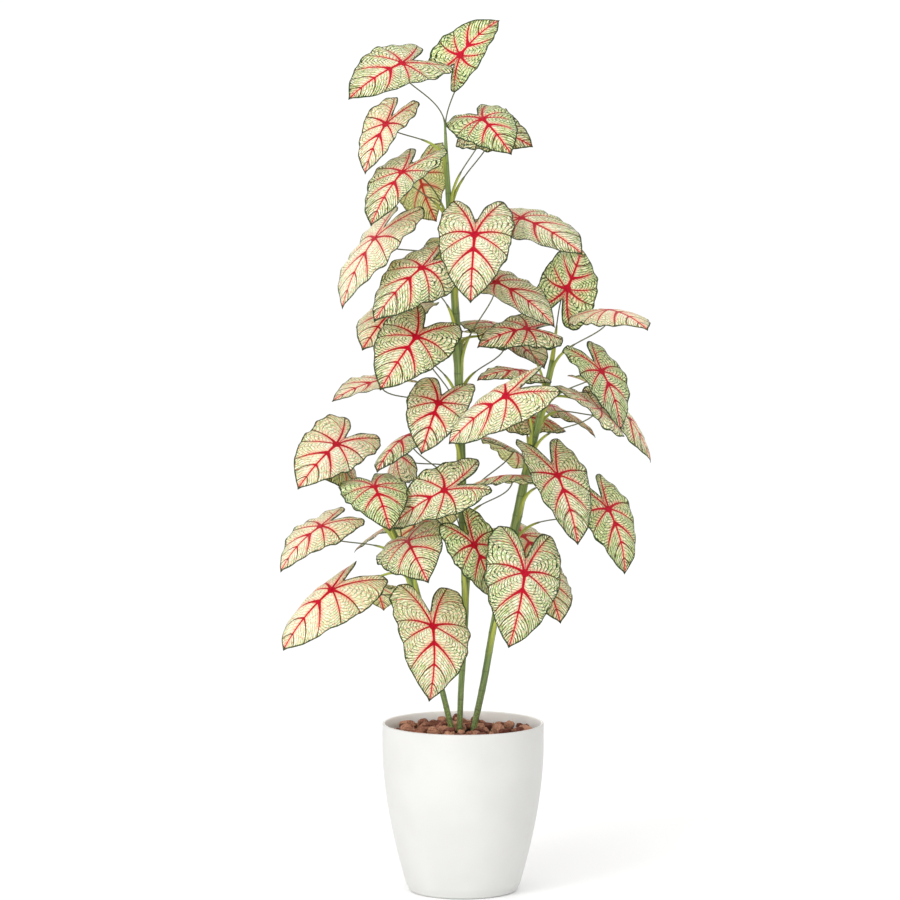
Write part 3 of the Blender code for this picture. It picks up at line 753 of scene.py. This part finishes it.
def stalk_shape(t, angle):
    """A stalk's section: a strap hollowed toward the trunk, then nearly round."""
    sheathed = 1 - min(1.0, t) ** 3
    oval = 1 / math.hypot(math.cos(angle) / (1 - STRAP_FLATNESS * sheathed), math.sin(angle))
    channel = CHANNEL_DEPTH * math.exp(-((math.sin(angle / 2) / CHANNEL_WIDTH) ** 2))
    return oval * (1 - sheathed * channel)


def add_stem(name, leaves, material):
    """One stem with the sheathed stalks of all its leaves."""
    form = bmesh.new()
    layers = [form.verts.layers.float_vector.new(key) for key in ("place", "kind")]
    line = stem_line(STEMS[name])
    low, high = line[0][2], line[-1][2]
    trunk = [(Vector(row[:3]), float(row[3]), (row[2] - low) / (high - low)) for row in line]
    seed = STEMS[name].seed
    tube(form, layers, trunk, TRUNK_SIDES, Vector((1, 0, 0)), trunk_shape(seed), 0.0, seed)
    for leaf in leaves:
        stalk, out = stalk_line(leaf)
        side = out.cross(Vector((0, 0, 1))).cross(out)
        if side.length < STEEPEST:
            side = Vector((1, 0, 0))
        tube(form, layers, stalk, STALK_SIDES, side.normalized(), stalk_shape, 1.0, leaf.seed)
    sheathed = f"stem_{name}_sheathed"
    add_piece(sheathed, form_mesh(form, sheathed, material), "stem_" + name)


def pot_radius(height):
    """Outer radius of the pot."""
    fall = max(0.0, POT_STRAIGHT_FROM - height) / POT_STRAIGHT_FROM
    return POT_TOP_RADIUS - (POT_TOP_RADIUS - POT_BASE_RADIUS) * fall**POT_TAPER_POWER


def quarter(x, z, radius, start):
    """Points of a quarter circle that turns clockwise from a start angle."""
    angles = [start - math.pi / 2 * step / QUARTER_STEPS for step in range(QUARTER_STEPS + 1)]
    return [(x + radius * math.cos(angle), z + radius * math.sin(angle)) for angle in angles]


def add_pot(material):
    """The pot, turned from its solid's profile, with a rounder lip and foot."""
    lip = POT_HEIGHT - POT_LIP_ROUND
    foot = pot_radius(0)
    profile = [(0, POT_FLOOR), (foot - POT_WALL - FLOOR_INSET, POT_FLOOR)]
    profile += [(pot_radius(z) - POT_WALL, z) for z in np.linspace(*POT_INNER_HEIGHTS)]
    profile += quarter(POT_TOP_RADIUS - POT_WALL + POT_LIP_ROUND, lip, POT_LIP_ROUND, math.pi)
    profile += quarter(POT_TOP_RADIUS - POT_LIP_ROUND, lip, POT_LIP_ROUND, math.pi / 2)
    profile += [(pot_radius(z), z) for z in np.linspace(*POT_OUTER_HEIGHTS)]
    profile += quarter(foot - POT_FOOT_ROUND, POT_FOOT_ROUND, POT_FOOT_ROUND, 0)
    profile += [(foot - FOOT_RING[0], 0), (foot - FOOT_RING[1], FOOT_RISE), (0, FOOT_RISE)]
    mesh = bpy.data.meshes.new("pot_turned")
    mesh.from_pydata([(x, 0, z) for x, z in profile], [(i, i + 1) for i in range(len(profile) - 1)], [])
    mesh.materials.append(material)
    pot = add_piece("pot_turned", mesh, "pot")
    turn = pot.modifiers.new("turn", "SCREW")
    turn.angle = 2 * math.pi
    turn.steps = turn.render_steps = POT_SIDES
    turn.use_merge_vertices = True
    turn.merge_threshold = POT_SEAM
    turn.use_smooth_shade = True


def chip_places(chance):
    """Places and sizes of the chips, the lower ones first."""
    places = []
    stems = [Vector(stem.points[1][:2]) for stem in STEMS.values()]
    for _try in range(CHIP_TRIES):
        if len(places) == CHIP_SHAPES:
            break
        size = chance.uniform(*CHIP_SIZES)
        radius = (CHIP_REACH - size * CHIP_INSET) * math.sqrt(chance.random())
        angle = chance.uniform(0, 2 * math.pi)
        spot = Vector((radius * math.cos(angle), radius * math.sin(angle)))
        upper = len(places) >= CHIP_SHAPES * CHIP_LOWER_SHARE
        if min((spot - stem).length for stem in stems) < size * CHIP_STEM_GAP + CHIP_OFF_STEM:
            continue
        gaps = [(spot - other).length / (size + far) for other, far, level in places if level == upper]
        if min(gaps, default=1) >= CHIP_SPACING[upper]:
            places.append((spot, size, upper))
    return places


def chip_form(chance, size):
    """One chip: a ball cut back by random planes, then roughened."""
    form = bmesh.new()
    bmesh.ops.create_icosphere(form, subdivisions=3, radius=1)
    cuts = []
    for _cut in range(CHIP_CUTS):
        cut = Vector([chance.gauss(0, spread) for spread in (1, 1, 0.8)]).normalized()
        cuts.append((cut, chance.uniform(*CHIP_CUT_DEPTHS)))
    stretch = Vector((1.0, chance.uniform(*CHIP_WIDTHS), chance.uniform(*CHIP_HEIGHTS)))
    shift = Vector([chance.uniform(0, 50) for _axis in range(3)])
    for corner in form.verts:
        reach = min(min(depth / max(corner.co.dot(cut), 0.001) for cut, depth in cuts), 1.0)
        reach += sum(height * noise.noise(corner.co * scale + shift) for scale, height in CHIP_ROUGHNESS)
        reach += CHIP_FIBRE_HEIGHT * noise.noise(corner.co * CHIP_FIBRES + shift)
        corner.co = corner.co * reach * stretch * size
    return form


def lay_chip(chance, form, spot, size, upper):
    """Turn a chip and lay it in its place, inside the pot's wall and over the soil."""
    turn = Matrix.Rotation(chance.uniform(0, 2 * math.pi), 4, "Z")
    lean = Matrix.Rotation(chance.uniform(-CHIP_LEAN, CHIP_LEAN), 4, (chance.random(), chance.random(), 0))
    rest = CHIP_LOW + size * CHIP_REST + CHIP_UPPER_RISE * upper
    form.transform(Matrix.Translation((*spot, rest)) @ turn @ lean)
    limit = POT_TOP_RADIUS - POT_WALL - CHIP_OFF_WALL
    for corner in form.verts:
        inward = min(1.0, limit / math.hypot(corner.co.x, corner.co.y))
        corner.co = (corner.co.x * inward, corner.co.y * inward, max(corner.co.z, CHIP_LOW - CHIP_SUNK))


def add_chips(material):
    """The bark chips, on and beside each other."""
    chance = random.Random(CHIP_SEED)
    whole = bmesh.new()
    grain_layer, tone_layer = (whole.verts.layers.float_vector.new(name) for name in ("grain", "tone"))
    for spot, size, upper in chip_places(chance):
        form = chip_form(chance, size)
        grain = [corner.co.copy() for corner in form.verts]
        lay_chip(chance, form, spot, size, upper)
        tone = Vector((chance.random(), chance.random(), 0))
        corners = [whole.verts.new(corner.co) for corner in form.verts]
        for corner, place in zip(corners, grain):
            corner[grain_layer], corner[tone_layer] = place, tone
        form.verts.index_update()
        for face in form.faces:
            whole.faces.new([corners[corner.index] for corner in face.verts])
        form.free()
    mesh = form_mesh(whole, "bark_chips", material)
    mesh.set_sharp_from_angle(angle=CHIP_CREASE)
    add_piece("bark_chips", mesh, "chips")


class Value:
    """A number, place or colour that nodes work out. Arithmetic with it adds nodes."""

    def __init__(self, paint, socket):
        self.paint, self.socket = paint, socket

    def __add__(self, other):
        return self.paint.math("ADD", self, other)

    def __sub__(self, other):
        return self.paint.math("SUBTRACT", self, other)

    def __mul__(self, other):
        return self.paint.math("MULTIPLY", self, other)

    def __truediv__(self, other):
        return self.paint.math("DIVIDE", self, other)

    def __abs__(self):
        return self.paint.math("ABSOLUTE", self)

    def ramp(self, start, end, low=0.0, high=1.0):
        """A smooth step from low at start to high at end."""
        sockets = {"Value": self, "From Min": start, "From Max": end, "To Min": low, "To Max": high}
        return self.paint.output("MapRange", sockets, interpolation_type="SMOOTHSTEP")

    def fall(self, start, end, high=1.0):
        """A smooth step from high at start down to 0 at end."""
        return self.ramp(start, end, high, 0.0)

    def noise(self, scale, detail=2.0, roughness=0.5):
        """Soft noise from 0 to 1 at a place."""
        sockets = {"Vector": self, "Scale": scale, "Detail": detail, "Roughness": roughness}
        return self.paint.output("TexNoise", sockets)


class Paint:
    """A material's nodes, with a short call for each kind that the finishes use."""

    def __init__(self, name):
        self.material = bpy.data.materials.new(name)
        self.material.use_nodes = True
        self.nodes = self.material.node_tree.nodes
        self.links = self.material.node_tree.links

    def plug(self, value, socket):
        """Link a value to a socket, or set the socket to a constant."""
        if isinstance(value, Value):
            self.links.new(value.socket, socket)
        else:
            socket.default_value = value

    def node(self, kind, sockets=(), **settings):
        """A new node with settings, and values for sockets by name or number."""
        node = self.nodes.new("ShaderNode" + kind)
        for key, value in settings.items():
            setattr(node, key, value)
        for key, value in dict(sockets).items():
            self.plug(value, node.inputs[key])
        return node

    def output(self, kind, sockets=(), **settings):
        """The first output of a new node."""
        return Value(self, self.node(kind, sockets, **settings).outputs[0])

    def apart(self, place):
        """The three numbers of a place."""
        return [Value(self, socket) for socket in self.node("SeparateXYZ", {0: place}).outputs]

    def attribute(self, name):
        """Three numbers kept on the mesh, apart."""
        source = self.node("Attribute", attribute_name=name)
        return self.apart(Value(self, source.outputs["Vector"]))

    def object_place(self):
        """Place on the piece, in metres."""
        return Value(self, self.node("TexCoord").outputs["Object"])

    def math(self, operation, *values, clamp=False):
        """One step of arithmetic."""
        return self.output("Math", enumerate(values), operation=operation, use_clamp=clamp)

    def largest(self, first, *others):
        """The largest of some numbers."""
        for other in others:
            first = self.math("MAXIMUM", first, other)
        return first

    def vector(self, *values):
        """A place from up to three numbers."""
        return self.output("CombineXYZ", enumerate(values))

    def mix(self, share, a, b):
        """A colour between two."""
        node = self.node("Mix", data_type="RGBA", clamp_factor=True)
        for value, socket in ((share, 0), (a, 6), (b, 7)):
            self.plug(value, node.inputs[socket])
        return Value(self, node.outputs[2])

    def layers(self, colour, *layers):
        """A colour under others, each laid on with its share."""
        for share, over in layers:
            colour = self.mix(share, colour, over)
        return colour

    def bump(self, height, distance, strength):
        """A surface normal from a height."""
        return self.output("Bump", {"Distance": distance, "Strength": strength, "Height": height})

    def finish(self, **sockets):
        """Set the shader's own sockets."""
        for key, value in sockets.items():
            self.plug(value, self.nodes["Principled BSDF"].inputs[key.replace("_", " ")])
        return self.material


class LeafPaint(Paint):
    """One face of the blades, from the values at their corners, in millimetres."""

    def __init__(self, face):
        super().__init__(face.name)
        self.face = face
        self.x, self.y, self.seed = self.attribute("flat")
        self.vein, self.vein_width, self.red = self.attribute("vein")
        self.rung, self.beside, self.distal = self.attribute("rung")
        self.star, self.height_share, self.reach = self.attribute("star")
        self.margin, self.branch, self.middle_width = self.attribute("edge")
        self.tone = self.attribute("tone")[0]
        self.place = self.vector(self.x, self.y, self.seed * 700)
        self.wander = self.place.noise(0.16)
        self.waver = self.place.noise(0.42, 1)
        self.shift = self.waver * 1.4 - 0.7

    def line(self, distance, half_width, soft=0.35):
        """1 on a line, 0 away from it, from a distance and a half width."""
        return distance.fall(half_width - soft / 2, half_width + soft)

    def wavering(self, distance, share):
        """A distance to a line that wavers by a share of the shift."""
        return abs(distance + self.shift * share)

    def net_distances(self):
        """Distances to the nearest rung or rib, and to the nearest edge of the net's cells."""
        strayed = self.rung + self.wander * 0.9 - 0.45 + self.shift * 0.11
        rung_pitch = self.distal * (RIB_PITCH * RIB_SLANT - RUNG_PITCH) + RUNG_PITCH
        cell_pitch = self.distal * (DISTAL_CELL_PITCH - CELL_PITCH) + CELL_PITCH
        own = self.seed * 90 + self.math("GREATER_THAN", self.x, 0) * 37
        cell = self.vector(strayed, self.beside / cell_pitch + own)
        edge = self.output(
            "TexVoronoi", {"Vector": cell, "Scale": 1, "Randomness": 0.8},
            feature="DISTANCE_TO_EDGE", voronoi_dimensions="2D",
        )
        return abs(self.math("FRACT", strayed) - 0.5) * rung_pitch, edge * CELL_PITCH

    def net(self, to_rung, to_cell, outward):
        """The net: faint near the midrib and on pale leaves, strong toward the margin."""
        near_margin = self.margin.fall(1, 20)
        broken = self.place.noise(0.12, 1).ramp(0.36, 0.52, 0.62, 1)
        to_collector = abs(self.beside + self.wander * 9 - 4.5 + self.distal * NOWHERE)
        net = self.largest(
            self.line(to_rung, near_margin * 0.22 + 0.70, 0.45) * broken,
            self.line(to_collector, 0.45, 0.45) * 0.8,
            self.line(to_cell, 0.34, 0.40) * (near_margin * 0.40 + 0.50),
        )
        return net * outward.ramp(0, 0.55, 0.66, 1) * self.tone.ramp(-1, 0.2, 0.68, 1)

    def flush(self, to_vein, to_middle):
        """Where the ground is pink beside the red veins and the midrib."""
        near = self.largest(to_vein.fall(0.5, 10.5) * self.red, to_middle.fall(1, 8))
        return near * self.wander.ramp(0.30, 0.62, 0.50, 1)

    def ground(self, halo, outward, flush):
        """Cream, with green patches and halos, blushes, and pink beside red veins."""
        patch = self.place.noise(0.11, 3).ramp(0.40, 0.72)
        patch = self.math("ADD", patch, self.tone * 0.50, clamp=True)
        green = (patch * 0.60 + halo * 0.75) * outward.ramp(0, 0.8, 0.50, 1)
        stretched = self.vector(self.x + self.shift, self.y * 0.9)
        blush = stretched.noise(0.24).ramp(0.44, 0.62) * (self.tone * -0.30 + 0.66)
        return self.layers(
            self.face.cream, (green, self.face.green), (blush * self.face.blush, BLUSH), (flush, PINK),
        )

    def veined(self, ground, veins, to_vein, middle):
        """The ground with its main veins, their branches, the midrib and both stars."""
        red = self.mix(self.waver.ramp(0.25, 0.65), self.face.red_dark, self.face.red)
        vein_red = self.math("ADD", self.red, self.wander * 0.5 - 0.25, clamp=True)
        vein_red = vein_red * self.red.ramp(0, 0.15)
        branch_red = self.margin.ramp(6, 16)
        middle_red = (self.margin + self.wander * 5).ramp(3, 9)
        star = (self.star + self.shift * 2).fall(-0.8, 0.6)
        return self.layers(
            ground,
            (self.line(to_vein, self.vein_width + 0.45, 0.5) * 0.55, RED_BROWN),
            (veins * self.face.veins, self.mix(vein_red, VEIN_DARK, red)),
            (self.line(self.wavering(self.branch, 1), 0.75), self.mix(branch_red, VEIN_DARK, red)),
            (middle, self.mix(middle_red, VEIN_DARK, red)),
            (star, red),
        )

    def rim(self):
        """The dark rim, of uneven width, and the tip."""
        rim = (self.margin + self.shift * 2.8).fall(2.2, 3.3)
        return self.largest(rim, self.height_share.ramp(0.935, 0.965)) * self.face.rim


def leaf_material(face):
    """The blade: cream and pale green between a dark green net, with red main veins and a dark rim."""
    paint = LeafPaint(face)
    to_vein = paint.wavering(paint.vein, 0.6)
    to_middle = paint.wavering(paint.x, 0.5)
    to_rung, to_cell = paint.net_distances()
    outward = paint.reach + paint.place.noise(0.055) * 0.6 - 0.3 + paint.tone * 0.12
    net = paint.net(to_rung, to_cell, outward)
    halo = paint.math("MINIMUM", to_rung, to_cell).fall(0.2, 2.2)
    flush = paint.flush(to_vein, to_middle)
    net_green = paint.mix(outward.ramp(0, 0.60, 0.60, 1), NET_PALE, NET_GREEN)
    net_colour = paint.mix(flush * 0.75, net_green, RED_BROWN)
    netted = paint.mix(net * face.net, paint.ground(halo, outward, flush), net_colour)
    veins = paint.line(to_vein, paint.vein_width)
    middle = paint.line(to_middle, paint.middle_width)
    painted = paint.mix(paint.rim(), paint.veined(netted, veins, to_vein, middle), MARGIN_GREEN)

    grain = paint.place.noise(1.8, 3)
    height = paint.largest(net * 0.35, veins, middle) * face.relief + grain * 0.22
    return paint.finish(
        Base_Color=painted, Roughness=grain * 0.16 + face.roughness,
        Normal=paint.bump(height, 0.0006, 0.8), Specular_IOR_Level=0.14,
        Subsurface_Weight=0.45, Subsurface_Scale=0.004, Subsurface_Radius=(1, 0.8, 0.4),
    )


def stem_material():
    """Stems: striped green trunks, yellow-green sheaths with dark edges, dark stalks."""
    paint = Paint("stem_skin")
    along, turn, _none = paint.attribute("place")
    stalk, seed, level = paint.attribute("kind")
    angle = turn * (2 * math.pi)
    round_x, round_y = paint.math("COSINE", angle), paint.math("SINE", angle)
    length = level + seed * 9

    def grain(across, lengthwise, scale, detail, roughness):
        """Noise with a scale of its own across and along the stem."""
        place = paint.vector(round_x * across, round_y * across, length * lengthwise)
        return place.noise(scale, detail, roughness)

    streak = grain(2.2, 6, 1.6, 3, 0.55)
    fine = grain(7, 22, 1.4, 3, 0.6)
    speck = grain(1, 160, 2, 2, 0.5)
    to_scar = abs(paint.math("FRACT", along * SCARS + seed + 0.5) - 0.5)
    trunk = paint.layers(
        TRUNK_DEEP,
        (streak.ramp(0.36, 0.64), TRUNK_GREEN),
        (fine.ramp(0.45, 0.75, 0, 0.55), TRUNK_PALE),
        (level.fall(0.29, 0.42) * speck.ramp(0.4, 0.65), TRUNK_FOOT),
        (to_scar.fall(0.01, 0.045, 0.55), TRUNK_SCAR),
    )
    sheath = paint.layers(
        SHEATH_GREEN,
        (streak.ramp(0.35, 0.70), SHEATH_YELLOW),
        (fine.ramp(0.5, 0.8, 0, 0.5), SHEATH_STREAK),
        (along.fall(0.10, 0.55), trunk),
        (abs(round_y).ramp(0.88, 1, 0, 0.55), SHEATH_EDGE),
    )
    bare = paint.layers(
        STALK_DARK,
        (streak.ramp(0.4, 0.6), STALK_OLIVE),
        (along.ramp(1.88, 2, 0, 0.5), STALK_RED),
    )
    stalks = paint.mix(along.ramp(0.85, 1), sheath, bare)
    return paint.finish(
        Base_Color=paint.mix(stalk, trunk, stalks), Roughness=fine * 0.22 + 0.36,
        Normal=paint.bump(streak * 0.5 + fine * 0.5, 0.0008, 0.6), Specular_IOR_Level=0.45,
    )


def pot_material():
    """The pot: warm white satin plastic, with a fine grain and faint turning marks, and painted light on
    its upper inner wall, which is made far paler than the outside against the shade in the pot.
    """
    paint = Paint("pot_satin")
    place = paint.object_place()
    x, y, z = paint.apart(place)
    cloud = place.noise(9, 3)
    turning = paint.vector(0, 0, z * 900).noise(1)
    speck = paint.output("TexVoronoi", {"Vector": place, "Scale": 260})
    radius = paint.math("SQRT", x * x + y * y)
    inside = radius.fall(POT_TOP_RADIUS - 0.6 * POT_WALL, POT_TOP_RADIUS - 0.3 * POT_WALL)
    colour = paint.layers(
        POT_GREY,
        (cloud.ramp(0.3, 0.7), POT_WHITE),
        (speck.fall(0.03, 0.10, 0.25), POT_SPECK),
        # Painted light: the upper inner wall is made far paler than the outside, to lift the shade in the
        # pot
        (inside * paint.math("GREATER_THAN", z, POT_STRAIGHT_FROM), POT_INSIDE_PAINTED_LIGHT),
    )
    height = turning * 0.25 + place.noise(900)
    return paint.finish(
        Base_Color=colour, Roughness=cloud * 0.14 + 0.34,
        Normal=paint.bump(height, 0.00012, 0.5), Specular_IOR_Level=0.45,
    )


def chip_material():
    """Bark chips, each of its own brown, with fibres, painted shade in the hollows of their bumps, and worn
    faces.
    """
    paint = Paint("bark")
    x, y, z = paint.attribute("grain")
    tone, hue, _none = paint.attribute("tone")
    fibre = paint.vector(x * 90, y * 420, z * 420 + tone * 60).noise(1, 4, 0.6)
    crumb = paint.vector(x, y, tone * 2 + z).noise(240, 4, 0.65)
    colour = paint.layers(
        paint.mix(hue, BARK_DARK, BARK_BROWN),
        (fibre.ramp(0.34, 0.66), paint.mix(hue, BARK_RED, BARK_TAN)),
        (tone.ramp(0.25, 0.8, 0, 0.55), BARK_WARM),
        (crumb.ramp(0.52, 0.72, 0, 0.6), BARK_WORN),
        # Painted shade: dark where the crumb of the bump is low
        (crumb.fall(0.30, 0.44, 0.8), BARK_HOLLOW_SHADE),
        (tone.fall(0.12, 0.42, 0.75), BARK_DEEP),
    )
    return paint.finish(
        Base_Color=colour, Roughness=crumb * 0.25 + 0.70,
        Normal=paint.bump(fibre * 0.8 + crumb, 0.0022, 0.9), Specular_IOR_Level=0.16,
    )


def soil_material():
    """Damp dark soil."""
    paint = Paint("soil_damp")
    crumb = paint.object_place().noise(180, 5, 0.7)
    colour = paint.mix(crumb.ramp(0.35, 0.7), SOIL_DARK, SOIL_BROWN)
    return paint.finish(Base_Color=colour, Roughness=0.95, Normal=paint.bump(crumb, 0.004, 0.9))


def floor_material():
    """A plain pale floor with a barely seen grain."""
    paint = Paint("floor_pale")
    cloud = paint.object_place().noise(1.3, 3)
    colour = paint.mix(cloud.ramp(0.3, 0.7), FLOOR_PALE, FLOOR_PALER)
    return paint.finish(Base_Color=colour, Roughness=0.6)


def add_aimed(name, data, place, target):
    """A camera or lamp in its place, turned to a target."""
    thing = bpy.data.objects.new(name, data)
    thing.location = place
    thing.rotation_euler = (Vector(target) - thing.location).to_track_quat("-Z", "Y").to_euler()
    bpy.context.scene.collection.objects.link(thing)
    return thing


def add_camera():
    """The photograph's view: a long lens from a little above the middle."""
    view = bpy.data.cameras.new("camera")
    view.lens, view.clip_end = CAMERA_LENS, CAMERA_FAR
    bpy.context.scene.camera = add_aimed("camera", view, CAMERA_PLACE, CAMERA_TARGET)


def add_lamp(name, place, target, size, power):
    """One soft lamp."""
    light = bpy.data.lights.new(name, "AREA")
    light.size, light.energy = size, power
    add_aimed(name, light, place, target)


def add_set():
    """A pale floor, a white surrounding and the lamps."""
    bpy.ops.mesh.primitive_plane_add(size=FLOOR_SIZE, location=(0, 0, 0))
    floor = bpy.context.object
    floor.name = "floor"
    floor.data.materials.append(floor_material())
    world = bpy.data.worlds.new("surround")
    world.use_nodes = True
    background = world.node_tree.nodes["Background"]
    background.inputs["Color"].default_value = (1.0, 1.0, 1.0, 1)
    background.inputs["Strength"].default_value = SURROUND_STRENGTH
    bpy.context.scene.world = world
    bpy.context.scene.view_settings.view_transform = "Standard"
    for lamp in LAMPS:
        add_lamp(*lamp)


def main():
    """Dress the plant, and set the view and the lights."""
    leaves = [leaf_from_row(stem, *row) for stem, rows in LEAF_ROWS.items() for row in enumerate(rows, 1)]
    leaf_skins = [leaf_material(face) for face in FACES]
    for leaf in leaves:
        add_leaf(leaf, leaf_skins)
    stem_skin = stem_material()
    for name in STEMS:
        add_stem(name, [leaf for leaf in leaves if leaf.stem == name], stem_skin)
    add_pot(pot_material())
    add_chips(chip_material())
    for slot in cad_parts["soil"].material_slots:
        slot.material = soil_material()
    add_set()
    add_camera()


main()
